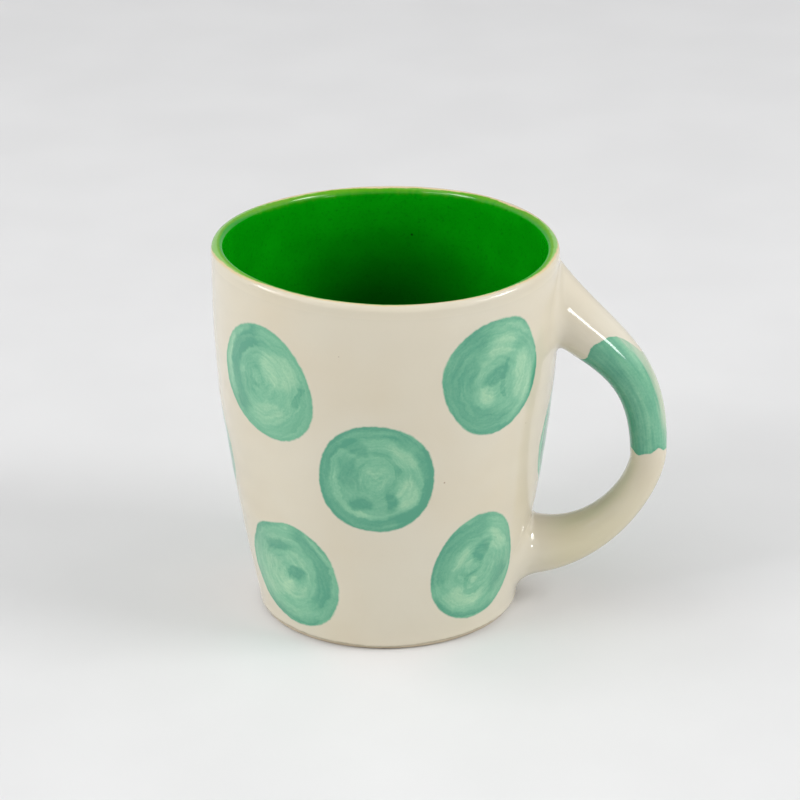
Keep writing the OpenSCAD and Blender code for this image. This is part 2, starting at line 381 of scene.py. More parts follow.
CREAM = (0.655, 0.600, 0.478)
CREAM_WARM = (0.645, 0.578, 0.445)
CREAM_COOL = (0.665, 0.617, 0.502)
CREAM_LOW_ARM = (0.655, 0.592, 0.408)
CLAY = (0.50, 0.42, 0.30)
CLAY_PALE = (0.58, 0.50, 0.37)
CLAY_DARK = (0.34, 0.26, 0.18)
GLAZE_EDGE = (0.36, 0.315, 0.20)
LIP_BUFF = (0.68, 0.54, 0.31)
TEAL_LIGHT = (0.35, 0.60, 0.385)
TEAL_MIDDLE = (0.180, 0.455, 0.285)
TEAL_DARK = (0.075, 0.315, 0.200)
GREEN_DEEP = (0.001, 0.315, 0.002)
GREEN_BRIGHT = (0.002, 0.36, 0.003)
GREEN_GRAIN = (0.001, 0.15, 0.003)
# Painted shade deep inside the cup
GREEN_SHADE_DEEP = (0.001, 0.10, 0.002)
# Painted shade on the inside's back
GREEN_SHADE_BACK = (0.001, 0.06, 0.002)
GREEN_SPECK = (0.002, 0.02, 0.002)
GREEN_THIN = (0.13, 0.37, 0.015)
GREEN_PALE = (0.235, 0.50, 0.115)

GLAZE_ROUGHNESS = (0.06, 0.10)
ORANGE_PEEL = 0.025  # mm
GREEN_SPECULAR = 0.2  # the green glaze reflects less than the cream one
INSIDE_SHADE_CENTRE = (-4, 41, 60)  # middle of the painted shade, a dark patch on the inside's back
# Iron specks outside: azimuth, height and size
SPECKS = ((26.5, 50, 0.36), (-8, 86, 0.2), (60, 60, 0.22), (150, 35, 0.3), (215, 55, 0.25), (300, 30, 0.2))
INSIDE_SPECK = (87, 14.0)  # angle round the cup and mm down the inside


def cream_colour(shader, position):
    """The clear cream glaze over buff clay: slow drifts of tone, fine flecks and a few iron specks."""
    drift = shader.noise(position, 0.035, 2)
    colour = shader.ramp(drift, [(0.3, CREAM_WARM), (0.5, CREAM), (0.7, CREAM_COOL)])
    fleck = shader.noise(position, 1.6, 3, 0.7)
    colour = shader.mix(shader.fade(fleck, 0.62, 0.82, 0, 0.16), colour, CLAY)
    for azimuth, z, size in SPECKS:
        phi = math.radians(azimuth - 90)
        spot = skin(np.array(phi), reach_at(z))
        away = shader.vector("DISTANCE", position, tuple(spot))
        colour = shader.mix(shader.fade(away, size, size * 0.3, 0, 0.8), colour, CLAY_DARK)
    return colour


def glaze_surface(shader, position):
    """Roughness and normal of fired glaze: almost mirror smooth, with a faint orange peel."""
    worn = shader.noise(position, 0.12, 3)
    roughness = shader.fade(worn, 0.3, 0.7, *GLAZE_ROUGHNESS)
    peel = shader.noise(position, 0.35, 2)
    return roughness, shader.bump(peel, ORANGE_PEEL)


def cream_material():
    """The handle's cream glaze, yellower on the lower arm away from the wall."""
    shader = Shader("cream_glaze")
    position = shader.position()
    _, _, height = shader.axes(position)
    uneven = shader.math("MULTIPLY_ADD", shader.noise(position, 0.15, 3), 14, height)
    low = shader.fade(uneven, 56, 22, 0, 0.85)
    from_axis = shader.vector("LENGTH", shader.vector("MULTIPLY", position, (1, 1, 0)))
    clear_of_wall = shader.fade(from_axis, 39, 50)
    toned_area = shader.math("MULTIPLY", low, clear_of_wall)
    # Yellower on the lower arm, away from the wall.
    colour = shader.mix(toned_area, cream_colour(shader, position), CREAM_LOW_ARM)
    roughness, normal = glaze_surface(shader, position)
    return shader.finish(colour, roughness, normal)


def exterior_material():
    """The cream glaze, browning where it thins out just above the foot."""
    shader = Shader("cream_glaze_wall")
    position = shader.position()
    above = shader.attribute("above_foot", VALUE)
    uneven = shader.math("MULTIPLY_ADD", shader.noise(position, 0.5, 3), 0.9, -0.45)
    thin = shader.fade(shader.math("ADD", above, uneven), 0.75, 0.1, 0, 0.85)
    colour = shader.mix(thin, cream_colour(shader, position), GLAZE_EDGE)
    roughness, normal = glaze_surface(shader, position)
    return shader.finish(colour, roughness, normal)


def interior_material():
    """Green glaze, paler where it thins over the lip and ending in a buff line beside the cream, with
    painted shade further down the inside and on its back.
    Attribute lip holds mm inwards from the lip's top, mm inwards from the green's edge, and how far
    the thin green runs. Attribute pale holds mm inwards from where the pale green ends."""
    shader = Shader("green_glaze_inside")
    position = shader.position()
    inward, past, run = shader.axes(shader.attribute("lip", VECTOR))
    drips = shader.noise(shader.vector("MULTIPLY", position, (0.55, 0.55, 0.06)), 1, 3)
    drip = shader.math("MULTIPLY_ADD", drips, 2.0, -1.0)
    mottle = shader.noise(position, 0.09, 3)
    deep = shader.mix(shader.fade(mottle, 0.3, 0.7), GREEN_DEEP, GREEN_BRIGHT)
    grain = shader.noise(position, 1.2, 3, 0.6)
    deep = shader.mix(shader.fade(grain, 0.5, 0.75, 0, 0.45), deep, GREEN_GRAIN)
    # Painted shade: the green darkens with depth below the lip.
    deep = shader.mix(shader.fade(inward, 6, 60, 0, 0.6), deep, GREEN_SHADE_DEEP)
    # Painted shade: a dark patch on the inside's back, where little light reaches.
    toned_area = shader.vector("DISTANCE", position, INSIDE_SHADE_CENTRE)
    deep = shader.mix(shader.fade(toned_area, 42, 6, 0, 0.8), deep, GREEN_SHADE_BACK)
    beyond = shader.math("MULTIPLY_ADD", drip, run, shader.attribute("pale", VALUE))
    thin_to = shader.math("MULTIPLY_ADD", run, 2.5, 0.7)
    colour = shader.mix(shader.fade(beyond, 0.2, thin_to), GREEN_THIN, deep)
    colour = shader.mix(shader.fade(beyond, -0.25, 0.25), GREEN_PALE, colour)
    edge = shader.math("MULTIPLY_ADD", shader.noise(position, 0.6, 2), 0.5, past)
    colour = shader.mix(shader.fade(edge, 0.0, 0.45), LIP_BUFF, colour)
    colour = shader.mix(shader.fade(edge, -0.6, -0.1), cream_colour(shader, position), colour)
    speck = skin(np.array(math.radians(INSIDE_SPECK[0])), INSIDE_SPECK[1])
    away = shader.vector("DISTANCE", position, tuple(speck))
    colour = shader.mix(shader.fade(away, 0.42, 0.2, 0, 0.85), colour, GREEN_SPECK)
    roughness, normal = glaze_surface(shader, position)
    return shader.finish(colour, roughness, normal, Specular_IOR_Level=GREEN_SPECULAR)


def clay_material():
    """Bare stoneware: buff, gritty and matt, with iron specks."""
    shader = Shader("bare_stoneware")
    position = shader.position()
    drift = shader.noise(position, 0.08, 3)
    colour = shader.mix(shader.fade(drift, 0.3, 0.7), CLAY, CLAY_PALE)
    grit = shader.noise(position, 2.4, 4, 0.7)
    colour = shader.mix(shader.fade(grit, 0.58, 0.75, 0, 0.6), colour, CLAY_DARK)
    normal = shader.bump(shader.noise(position, 1.8, 4, 0.65), 0.12)
    return shader.finish(colour, shader.fade(grit, 0.3, 0.7, 0.78, 0.92), normal)


# ---------- Brushed paint ----------

def dab(shader, point, tone, centre, size, turn, strength):
    """Adds strength to the tone over an oval patch that fades out at its edge."""
    sockets = {
        "Vector": point,
        "Location": (*centre, 0),
        "Rotation": (0, 0, math.radians(turn)),
        "Scale": (*size, 1),
    }
    local = shader.node("Mapping", sockets, vector_type="TEXTURE")
    inside = shader.fade(shader.vector("LENGTH", local), 1.2, 0.62)
    return shader.math("MULTIPLY_ADD", inside, strength, tone)


def sweep(shader, point, tone, centre, radius, width, start, end, strength):
    """Adds strength to the tone along an arc of a brush stroke, from one angle to another."""
    middle, half = (start + end) / 2, math.radians(end - start) / 2
    sockets = {
        "Vector": point,
        "Location": (*centre, 0),
        "Rotation": (0, 0, math.radians(middle)),
        "Scale": (radius, radius, 1),
    }
    local = shader.node("Mapping", sockets, vector_type="TEXTURE")
    off = shader.math("ABSOLUTE", shader.math("SUBTRACT", shader.vector("LENGTH", local), 1.0))
    across = shader.fade(off, 0.95 * width / radius, 0.5 * width / radius)
    if half < math.pi:
        x, y, _ = shader.axes(local)
        turned = shader.math("ABSOLUTE", shader.math("ARCTAN2", y, x))
        across = shader.math("MULTIPLY", across, shader.fade(turned, half, 0.72 * half))
    return shader.math("MULTIPLY_ADD", across, strength, tone)


# Strokes of each painted dot in units of its radius, x to the right and y up as seen from outside.
# A dab is (centre, (half width, half height), turn, strength), and a sweep is (centre, radius,
# width, from angle, to angle, strength). Strengths above zero are thicker, darker paint.
STROKES = {
    "crescent": [
        ((0.12, 0.02), 0.80, 0.20, 92, 236, 0.42),
        ((0.05, 0.12), 0.60, 0.10, 75, 165, 0.22),
        ((0.10, 0.10), 0.98, 0.10, 140, 215, -0.28),
        ((0.30, 0.12), 0.52, 0.07, -52, 0, 0.34),
        ((0.36, 0.28), (0.40, 0.36), -30, -0.42),
        ((0.08, -0.52), (0.40, 0.22), 8, -0.30),
        ((-0.24, 0.08), (0.26, 0.34), 0, 0.20),
        ((-0.46, 0.12), (0.10, 0.08), 0, -0.26),
        ((-0.12, 0.10), (0.09, 0.13), 20, -0.24),
        ((-0.15, -0.13), (0.09, 0.06), 0, -0.26),
    ],
    "left_band": [
        ((0.26, 0.04), 0.92, 0.38, 105, 285, 0.36),
        ((0.00, 0.00), 0.97, 0.08, -60, 30, 0.30),
        ((0.78, -0.05), 0.64, 0.05, 140, 216, 0.28),
        ((0.02, 0.08), (0.28, 0.16), 28, 0.46),
        ((0.10, 0.60), (0.34, 0.24), 0, -0.42),
        ((-0.22, 0.42), (0.18, 0.16), 0, -0.24),
        ((0.60, -0.12), (0.24, 0.52), 8, -0.40),
        ((-0.20, -0.26), (0.26, 0.18), -18, -0.34),
        ((0.50, 0.52), (0.20, 0.14), 0, 0.12),
    ],
    "ring": [
        ((0.00, 0.00), 0.93, 0.20, 0, 360, 0.34),
        ((-0.10, 0.00), (0.70, 0.66), 0, 0.12),
        ((0.02, -0.02), 0.88, 0.16, -75, 45, 0.24),
        ((0.00, -0.05), 0.68, 0.07, 150, 268, -0.34),
        ((-0.15, 0.00), 0.52, 0.06, 5, 85, 0.26),
        ((0.00, 0.00), 0.99, 0.05, 18, 70, -0.40),
        ((-0.32, 0.60), (0.24, 0.17), -20, 0.40),
        ((-0.50, 0.12), (0.20, 0.30), 0, 0.24),
        ((-0.28, -0.46), (0.20, 0.17), 0, 0.44),
        ((0.25, -0.47), (0.13, 0.20), 0, 0.44),
        ((0.53, -0.30), (0.18, 0.36), 0, -0.42),
        ((0.48, 0.44), (0.30, 0.24), -35, -0.30),
        ((0.06, 0.12), (0.28, 0.36), 0, -0.22),
    ],
    "comma": [
        ((-0.05, 0.10), 0.78, 0.18, -58, 80, 0.40),
        ((0.00, 0.00), 0.96, 0.09, -35, 62, -0.18),
        ((0.00, 0.00), 0.94, 0.12, -140, -50, 0.26),
        ((0.00, 0.00), 0.94, 0.14, 105, 165, 0.20),
        ((-0.18, 0.52), (0.38, 0.11), 6, 0.34),
        ((0.20, 0.05), (0.22, 0.15), 18, 0.50),
        ((0.22, 0.32), (0.22, 0.16), 0, -0.14),
        ((-0.42, -0.15), (0.48, 0.44), 20, -0.36),
        ((0.05, -0.30), (0.30, 0.20), 15, -0.32),
    ],
    "wedge": [
        ((0.10, 0.00), 0.88, 0.30, 78, 200, 0.34),
        ((0.00, 0.00), 0.96, 0.09, -155, -55, 0.30),
        ((-0.12, 0.08), 0.22, 0.06, 0, 360, 0.16),
        ((-0.05, -0.28), 0.20, 0.07, 50, 330, 0.28),
        ((0.06, 0.38), (0.16, 0.32), -24, 0.42),
        ((0.38, 0.48), (0.44, 0.18), -40, -0.38),
        ((-0.36, 0.26), (0.26, 0.20), 20, -0.30),
        ((-0.20, -0.56), (0.44, 0.22), -14, -0.42),
        ((0.56, -0.40), (0.24, 0.36), -20, 0.30),
        ((-0.05, -0.28), (0.08, 0.07), 0, -0.30),
    ],
}


def brushed_tone(shader, point, strokes, seed):
    """Thickness of brushed paint, 0 thin to 1 thick: the strokes, swirling hairlines and granulation."""
    offset = (seed * 3.7, seed * 1.9, seed * 5.3)
    moved = shader.vector("ADD", point, offset)
    drift = shader.vector("SUBTRACT", shader.noise(moved, 2.2, 2, output=1), (0.5, 0.5, 0.5))
    tremble = shader.vector("SUBTRACT", shader.noise(moved, 9.0, 2, output=1), (0.5, 0.5, 0.5))
    bent = shader.vector("ADD", point, shader.scaled(drift, 0.22))
    bent = shader.vector("ADD", bent, shader.scaled(tremble, 0.10))
    bent = shader.vector("MULTIPLY", bent, (1, 1, 0))
    tone = 0.50
    for stroke in strokes:
        if len(stroke) == 4:
            tone = dab(shader, bent, tone, *stroke)
        else:
            tone = sweep(shader, bent, tone, *stroke)
    radius = shader.vector("LENGTH", bent)
    around = shader.vector("NORMALIZE", bent)
    for scale, strength in ((6.0, 0.30), (17.0, 0.32)):
        outwards = shader.joined(0.0, 0.0, shader.math("MULTIPLY", radius, scale))
        turning = shader.vector("ADD", shader.scaled(around, 0.9), outwards)
        hair = shader.noise(shader.vector("ADD", turning, offset), 1.1, 3, 0.6)
        tone = shader.math("MULTIPLY_ADD", shader.math("SUBTRACT", hair, 0.5), strength * 2, tone)
    grain = shader.noise(moved, 26.0, 3, 0.65)
    return shader.math("MULTIPLY_ADD", shader.math("SUBTRACT", grain, 0.5), 0.40, tone)


def paint_colour(shader, tone):
    return shader.ramp(tone, [(0.0, TEAL_LIGHT), (0.45, TEAL_MIDDLE), (1.0, TEAL_DARK)])


def dot_material(name, strokes, seed):
    """A brushed dot under clear glaze. Attribute spot holds the place in dot radii and, third, the
    distance from the centre as a share of the outline's."""
    shader = Shader(name)
    position = shader.position()
    spot = shader.attribute("spot", VECTOR)
    _, _, share = shader.axes(spot)
    point = shader.vector("MULTIPLY", spot, (1, 1, 0))
    tone = brushed_tone(shader, point, strokes, seed)
    rim = shader.fade(share, 0.90, 0.985, 0, 0.16)
    painted = paint_colour(shader, shader.math("ADD", tone, rim))
    frayed = shader.math("MULTIPLY_ADD", shader.noise(position, 0.7, 2, 0.5), 0.035, share)
    cover = shader.fade(frayed, 1.04, 1.0)
    colour = shader.mix(cover, cream_colour(shader, position), painted)
    roughness, normal = glaze_surface(shader, position)
    return shader.finish(colour, roughness, normal)


def band_material():
    """The brushed band on the handle: streaked lengthways, with painted shade that darkens it towards the
    loop and a painted reflection that pales it on the outer side and lets the cream through on the upper
    part.
    Attribute grip holds mm along the handle, and the cosine and sine of the turn round it. Attribute
    painted holds mm from the nearer end of the band."""
    shader = Shader("teal_band")
    position = shader.position()
    grip = shader.attribute("grip", VECTOR)
    _, outward, _ = shader.axes(grip)
    lanes = shader.vector("MULTIPLY", grip, (0.035, 2.2, 2.2))
    # Painted shade and reflection: darker towards the loop, paler on the outer side.
    tone = shader.math("MULTIPLY_ADD", outward, -0.30, 0.75)
    for scale, strength in ((1.1, 0.9), (3.4, 0.7)):
        streak = shader.noise(lanes, scale, 3, 0.6)
        tone = shader.math("MULTIPLY_ADD", shader.math("SUBTRACT", streak, 0.5), strength, tone)
    pools = shader.noise(position, 0.16, 2)
    tone = shader.math("MULTIPLY_ADD", shader.math("SUBTRACT", pools, 0.5), 0.5, tone)
    grain = shader.noise(position, 1.7, 3, 0.65)
    tone = shader.math("MULTIPLY_ADD", shader.math("SUBTRACT", grain, 0.5), 0.5, tone)
    inside = shader.attribute("painted", VALUE)
    tone = shader.math("ADD", tone, shader.fade(inside, 1.2, 0.2, 0, 0.12))
    frayed = shader.math("MULTIPLY_ADD", shader.noise(position, 0.8, 3, 0.6), 0.8, inside)
    cover = shader.fade(frayed, 0.15, 0.55)
    _, _, height = shader.axes(position)
    # Painted reflection: along the upper outer side the paint fades to cream.
    ragged = shader.math("MULTIPLY_ADD", shader.noise(lanes, 2.0, 3, 0.6), 0.5, outward)
    painted_reflection = shader.math("MULTIPLY", shader.fade(ragged, 0.95, 1.3, 0, 0.62), shader.fade(height, 46, 55))
    cover = shader.math("MULTIPLY", cover, shader.math("SUBTRACT", 1.0, painted_reflection))
    colour = shader.mix(cover, cream_colour(shader, position), paint_colour(shader, tone))
    roughness, normal = glaze_surface(shader, position)
    return shader.finish(colour, roughness, normal)


# ---------- The cup ----------

def finished(piece, material, slot, *nodes):
    """A piece with its material, on the part's one body, in place of its CAD nodes."""
    piece.data.materials.append(material)
    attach(piece, "root")
    if nodes:
        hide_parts(*nodes)
    return piece


def cup_body():
    """The thrown clay: foot ring, wall and floor, all of it under the glaze but the foot."""
    phi = round_angles(256)
    edge_r = wall_r(FOOT_ROUND) - GLAZE_T - FOOT_ROUND
    ring_r = WALL[0] - RING_W
    turn = np.radians(np.linspace(-90, 0, 8))
    hollow = [[r, HOLLOW_H + UNDERSIDE_RISE * (r / ring_r) ** 2] for r in np.linspace(3, ring_r - 3, 14)]
    ring_edge = [
        [ring_r - 1.6, HOLLOW_H],
        [ring_r - 0.7, HOLLOW_H - 0.5],
        [ring_r - 0.25, 0.5],
        [ring_r + 0.3, 0.12],
        [ring_r + 0.9, 0.0],
    ]
    ring = [[r, 0.0] for r in np.linspace(ring_r + 1.5, edge_r - 0.4, 5)]
    under = np.array([[0, HOLLOW_H]] + hollow + ring_edge + ring)
    foot = np.stack([edge_r + FOOT_ROUND * np.cos(turn), FOOT_ROUND + FOOT_ROUND * np.sin(turn)], 1)
    low = np.concatenate([under, foot])
    reach = np.concatenate([
        np.linspace(reach_at(1.0), -4, 60), np.linspace(-3.6, 4, 26), np.linspace(5, REACH[-1], 80)
    ])[None, :]
    flat = place(phi, low[None, :, 0], low[None, :, 1])
    upper = skin(phi, np.broadcast_to(reach, (len(phi), reach.size)), GLAZE_T)
    return mesh_piece("cup_body", np.concatenate([flat, upper], axis=1), closed=False)


def glaze_line(phi):
    """Height at which the outside glaze stops, which wavers round the foot."""
    return GLAZE_LINE + 0.16 * np.sin(2 * phi + 1) + 0.1 * np.sin(5 * phi) + 0.06 * np.sin(11 * phi + 2)


CREAM_END = -0.6  # reach at which the cream coat ends, under the green one
GREEN_END = -4.5  # reach at which the green coat's sheet ends outside, coloured cream past the green


def wall_glaze():
    """The clear coat outside, from the glaze line above the foot to the top of the lip."""
    phi = round_angles(288)
    start = reach_at(glaze_line(phi))
    top = 95
    rise = np.concatenate([[0, 0.12, 0.3, 0.55, 0.9, 1.3, 1.8, 2.4], np.linspace(3.2, top, 104)])[None, :]
    wall = start + rise * (GREEN_END - start) / top
    up_the_lip = np.linspace(0.0, 1.0, 13)[None, 1:]
    lip = GREEN_END + (CREAM_END - GREEN_END) * np.broadcast_to(up_the_lip, (len(phi), up_the_lip.size))
    reach = np.concatenate([wall, lip], axis=1)
    above = reach - start
    depth = GLAZE_T * (1 - smooth(above, -0.01, 0.35)) - 0.1 * np.exp(-(((above - 1.0) / 0.8) ** 2))
    front = skin(phi, reach, depth)
    back = skin(phi, reach, GLAZE_T)
    attributes = {"above_foot": both_sides(above, above)}
    return mesh_piece("wall_glaze", both_sides(front, back), attributes=attributes)


# The green on the lip, at eight directions from +X (the handle) round by the back: how many mm past
# the lip's top it reaches outwards, how far the thin yellowish green under the pale one runs and
# drips, and how many mm inwards of the lip's top the pale green ends
GREEN_EDGE = (1.1, -0.45, -0.7, -0.3, 2.4, 0.4, -0.15, -0.15)
GREEN_RUN = (0.25, 0.9, 0.9, 0.8, 0.1, 0.15, 0.15, 0.15)
GREEN_PALE_TO = (0.0, -0.2, 0.1, 0.5, 0.0, -0.4, -1.2, -1.0)


def round_values(phi, values):
    """Values given at equal steps round the cup, blended smoothly between them."""
    count = len(values)
    step = 2 * math.pi / count
    total = 0
    for i, value in enumerate(values):
        away = np.abs((phi - i * step + math.pi) % (2 * math.pi) - math.pi) / step
        total = total + value * (1 - smooth(away, 0, 1))
    return total


def inside_glaze():
    """The green coat, from the middle of the floor up and over the lip, where its end sinks into the
    cream coat."""
    phi = round_angles(288)
    sinks_from = GREEN_END + 0.3
    reach = np.concatenate([
        np.linspace(REACH[-1], 6, 110), np.linspace(5.4, sinks_from, 42), [GREEN_END + 0.15, GREEN_END]
    ])[None, :]
    reach = np.broadcast_to(reach, (len(phi), reach.shape[1]))
    proud = PROUD * smooth(-reach, -0.5, 0.5) - 3 * PROUD * smooth(-reach, -sinks_from, -GREEN_END)
    front = skin(phi, reach, -proud)
    under = GLAZE_T - (GLAZE_T - 0.06) * smooth(-reach, 0.1, 0.6)
    back = skin(phi, reach, under)
    normal = skin_normal(phi, reach)
    normal[:, :3] = (0, 0, 1)
    edge = round_values(phi, GREEN_EDGE) + 0.18 * np.sin(7 * phi) + 0.12 * np.sin(13 * phi + 1)
    run = round_values(phi, GREEN_RUN)
    lip = np.stack(np.broadcast_arrays(reach, reach + edge, run), -1)
    points = both_sides(front, back)
    pale = reach - round_values(phi, GREEN_PALE_TO)
    attributes = {"lip": both_sides(lip, lip), "pale": both_sides(pale, pale)}
    return mesh_piece("inside_glaze", points, False, both_sides(normal, -normal), attributes)


# ---------- The painted dots ----------

def bump(angle, size):
    """Ripples that add up to one bump of an outline, where the brush first touched down."""
    return tuple((count, angle, size / 6) for count in range(3, 9))


# Ripples of each outline: waves round it, the angle of a crest and its height as a share of the
# radius. They are those of the CAD source, except that dot_upper_front_right also has ripples of one
# wave and a bump, and dot_lower_front_left has a bump. Then come the size against the mean, the
# strokes, and how far they are turned.
DOTS = {
    "dot_upper_front_left": (((2, -37, 0.032), (3, -46, 0.037)), 1.01, "crescent", 0),
    "dot_upper_front_right": (
        ((1, 98, 0.045), (2, -72, 0.05), (4, -20, 0.015), *bump(62, 0.022)), 1.02, "left_band", 0
    ),
    "dot_upper_back_right": (((2, 60, 0.045), (3, 10, 0.02)), 1.03, "wedge", 150),
    "dot_upper_back_left": (((2, -50, 0.03), (3, 80, 0.03)), 0.99, "ring", 200),
    "dot_middle_front": (((2, 88, 0.02), (4, 40, 0.015)), 1.01, "ring", 0),
    "dot_middle_right": (((2, 75, 0.035), (3, 30, 0.015)), 1.0, "comma", 215),
    "dot_middle_back": (((2, -60, 0.04), (3, 100, 0.03)), 1.02, "crescent", 130),
    "dot_middle_left": (((2, 80, 0.03), (3, -20, 0.02)), 1.0, "left_band", 170),
    "dot_lower_front_left": (((2, 32, 0.023), (3, -57, 0.039), *bump(128, 0.038)), 1.03, "comma", 0),
    "dot_lower_front_right": (((2, -79, 0.1), (3, -35, 0.03)), 0.97, "wedge", 0),
    "dot_lower_back_right": (((2, 70, 0.06), (3, 50, 0.02)), 1.0, "left_band", 60),
    "dot_lower_back_left": (((2, -75, 0.05), (3, 15, 0.025)), 0.98, "crescent", 250),
}
DOT_MARGIN = 1.3  # how far a dot's patch of glaze runs past the paint
PATCH_BACK = 0.12  # how deep in the glaze a dot's patch has its back


def node_centre(name):
    """Middle of a CAD node's surface, in mm."""
    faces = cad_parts[name].data.polygons
    total = sum((p.center * p.area for p in faces), Vector())
    return total / sum(p.area for p in faces) / MM


def turned(stroke, angle):
    """A stroke turned about the dot's centre."""
    c, s = math.cos(math.radians(angle)), math.sin(math.radians(angle))
    x, y = stroke[0]
    centre = (c * x - s * y, s * x + c * y)
    if len(stroke) == 4:
        return (centre, stroke[1], stroke[2] + angle, stroke[3])
    return (centre, stroke[1], stroke[2], stroke[3] + angle, stroke[4] + angle, stroke[5])


def softened(stroke):
    """A stroke toned down, a pale one more than a dark one."""
    strength = stroke[-1] * (0.9 if stroke[-1] > 0 else 0.7)
    return (*stroke[:-1], strength)


def dot_piece(name, ripples, size, strokes, angle, seed):
    """A painted dot as a thin patch that lies in the wall's glaze and stands slightly proud of it."""
    centre = node_centre(name)
    middle_phi = math.atan2(centre.y, centre.x)
    around = round_angles(120)
    mean_radius = DOT_R * size
    radius = mean_radius * (1 + waves(around, ripples))
    inner = np.linspace(0, 1, 27)[None, :]
    outer = np.array([0.12, 0.3, 0.5, 0.7, 0.82, 0.92, 1.0])[None, :] * DOT_MARGIN
    away = np.concatenate([radius * inner, radius + outer], axis=1)
    x, z = away * np.cos(around), centre.z + away * np.sin(around)
    bend = wall_r(centre.z)
    phi = middle_phi + np.arcsin(bend * np.sin(x / bend) / wall_r(z))
    reach = reach_at(z)
    depth = np.where(away - radius > 0.95 * DOT_MARGIN, SUNK, -PROUD)
    front = skin(phi, reach, depth)
    back = skin(phi, reach, PATCH_BACK)
    normal = skin_normal(phi, reach)
    share = away * mean_radius / radius
    spot = np.stack([away * np.cos(around), away * np.sin(around), share], -1) / mean_radius
    points = both_sides(front, back)
    attributes = {"spot": both_sides(spot, spot)}
    piece = mesh_piece("painted_" + name, points, False, both_sides(normal, -normal), attributes)
    moves = [turned(softened(stroke), angle) for stroke in STROKES[strokes]]
    return finished(piece, dot_material("teal_" + name, moves, seed), "teal_brushwork", name)


# ---------- The handle ----------

# Control points [x, z, half thickness] of the centreline, as in the CAD source
UPPER_ARM = np.array([[34, 94.5, 10], [51.5, 72.5, 6.8], [68.7, 73.5, 5.5], [68.7, 43.5, 4.7]])
LOWER_ARM = np.array([[68.7, 43.5, 4.7], [68.7, 34, 4.1], [54.5, 11, 4.9], [30, 17, 9.5]])
WIDENING = 1.15
# Place inside the wall, place clear of it, and the fillet's width on the loop's side and outside
UPPER_JOINT = (0, 0.6, 2, 1.5)
LOWER_JOINT = (2, 1.4, 1.2, 4.5)
SMOOTHED = 4.0  # how much wider the fillets are at the handle's two sides, where the clay is smoothed
FILLET_PULL = 0.72  # how far the fillet's pull points lie towards the sharp corner it rounds off
BAND_FROM, BAND_TO = 0.42, 0.98  # places of the painted band's ends, as in the CAD source
BAND_SLANT = 0.19  # how much further down its upper end starts on the handle's outer side
PLACE_MM = 60  # about how long the handle is between two whole places


def arm_curve(function, place_along):
    """bezier or bezier_slope of the arm that each place is on: upper from 0 to 1, lower from 1 to 2."""
    s = place_along[..., None]
    return np.where(s < 1, function(UPPER_ARM, s), function(LOWER_ARM, s - 1))


def arm_point(s, a, depth=0.0):
    """Point on the handle at place s and turn a, where turn 0 faces away from the loop."""
    c = arm_curve(bezier, s)
    m = arm_curve(bezier_slope, s)[..., :2]
    m = m / np.linalg.norm(m, axis=-1, keepdims=True)
    out = (c[..., 2] - depth) * np.cos(a)
    y = (c[..., 2] * WIDENING - depth) * np.sin(a)
    return np.stack([c[..., 0] - out * m[..., 1], y, c[..., 1] + out * m[..., 0]], -1)


def meeting(joint, a):
    """Place where the handle's line at turn a goes through the wall, by halving."""
    low, high = np.full(a.shape, float(joint[0])), np.full(a.shape, float(joint[1]))
    for _ in range(30):
        s = (low + high) / 2
        p = arm_point(s, a)
        phi = np.arctan2(p[..., 1], p[..., 0])
        buried = np.hypot(p[..., 0], p[..., 1]) < uneven_r(phi, p[..., 2])
        low, high = np.where(buried, s, low), np.where(buried, high, s)
    return (low + high) / 2


def on_wall(y, z):
    """Point of the uneven wall at y and z on the handle's side, by repeated approach."""
    phi = np.arcsin(y / wall_r(z))
    for _ in range(4):
        r = uneven_r(phi, z)
        phi = np.arcsin(y / r)
    return np.stack([r * np.cos(phi), y, z], -1)


def wall_normal(p):
    """Outward direction of the uneven wall at a point on it."""
    phi, z, step = np.arctan2(p[..., 1], p[..., 0]), p[..., 2], 0.2
    r = uneven_r(phi, z)
    turn = step / TYPICAL_R
    dr_dphi = (uneven_r(phi + turn, z) - uneven_r(phi - turn, z)) / (2 * turn)
    dr_dz = (uneven_r(phi, z + step) - uneven_r(phi, z - step)) / (2 * step)
    normal = np.stack([
        np.cos(phi) + dr_dphi / r * np.sin(phi),
        np.sin(phi) - dr_dphi / r * np.cos(phi),
        -dr_dz,
    ], -1)
    return normal / np.linalg.norm(normal, axis=-1, keepdims=True)


def joint_rings(joint, a, count):
    """Rings of the fillet from the wall to the handle, and the place where it leaves the handle."""
    met = meeting(joint, a)
    corner = arm_point(met, a)
    middle_z = (corner[np.argmax(np.cos(a)), 2] + corner[np.argmin(np.cos(a)), 2]) / 2
    width = joint[2] + (joint[3] - joint[2]) * (1 + np.cos(a)) / 2 + SMOOTHED * np.sin(a) ** 2
    spread = corner[:, 1:] - (0, middle_z)
    foot = corner[:, 1:] + width[:, None] * spread / np.linalg.norm(spread, axis=1, keepdims=True)
    start = on_wall(foot[:, 0], foot[:, 1])
    speed = np.linalg.norm(arm_curve(bezier_slope, met)[:, :2], axis=1)
    leave = met + np.sign(joint[1] - joint[0]) * width / speed
    end = arm_point(leave, a)
    normal = wall_normal(start)
    lifted = np.einsum("ij,ij->i", corner - start, normal)[:, None]
    tangent_start = corner - lifted * normal
    t = np.linspace(0, 1, count)[None, :, None]
    first = start + (tangent_start - start) * FILLET_PULL
    last = end + (corner - end) * FILLET_PULL
    rings = bezier([p[:, None] for p in (start, first, last, end)], t)
    return rings, leave, normal


def arm_rings(a, start, end, count):
    """Rows of points along the handle from start to end at each turn a, and their places."""
    t = np.linspace(0, 1, count)[None, :]
    s = start[:, None] * (1 - t) + end[:, None] * t
    return arm_point(s, np.broadcast_to(a[:, None], s.shape)), s


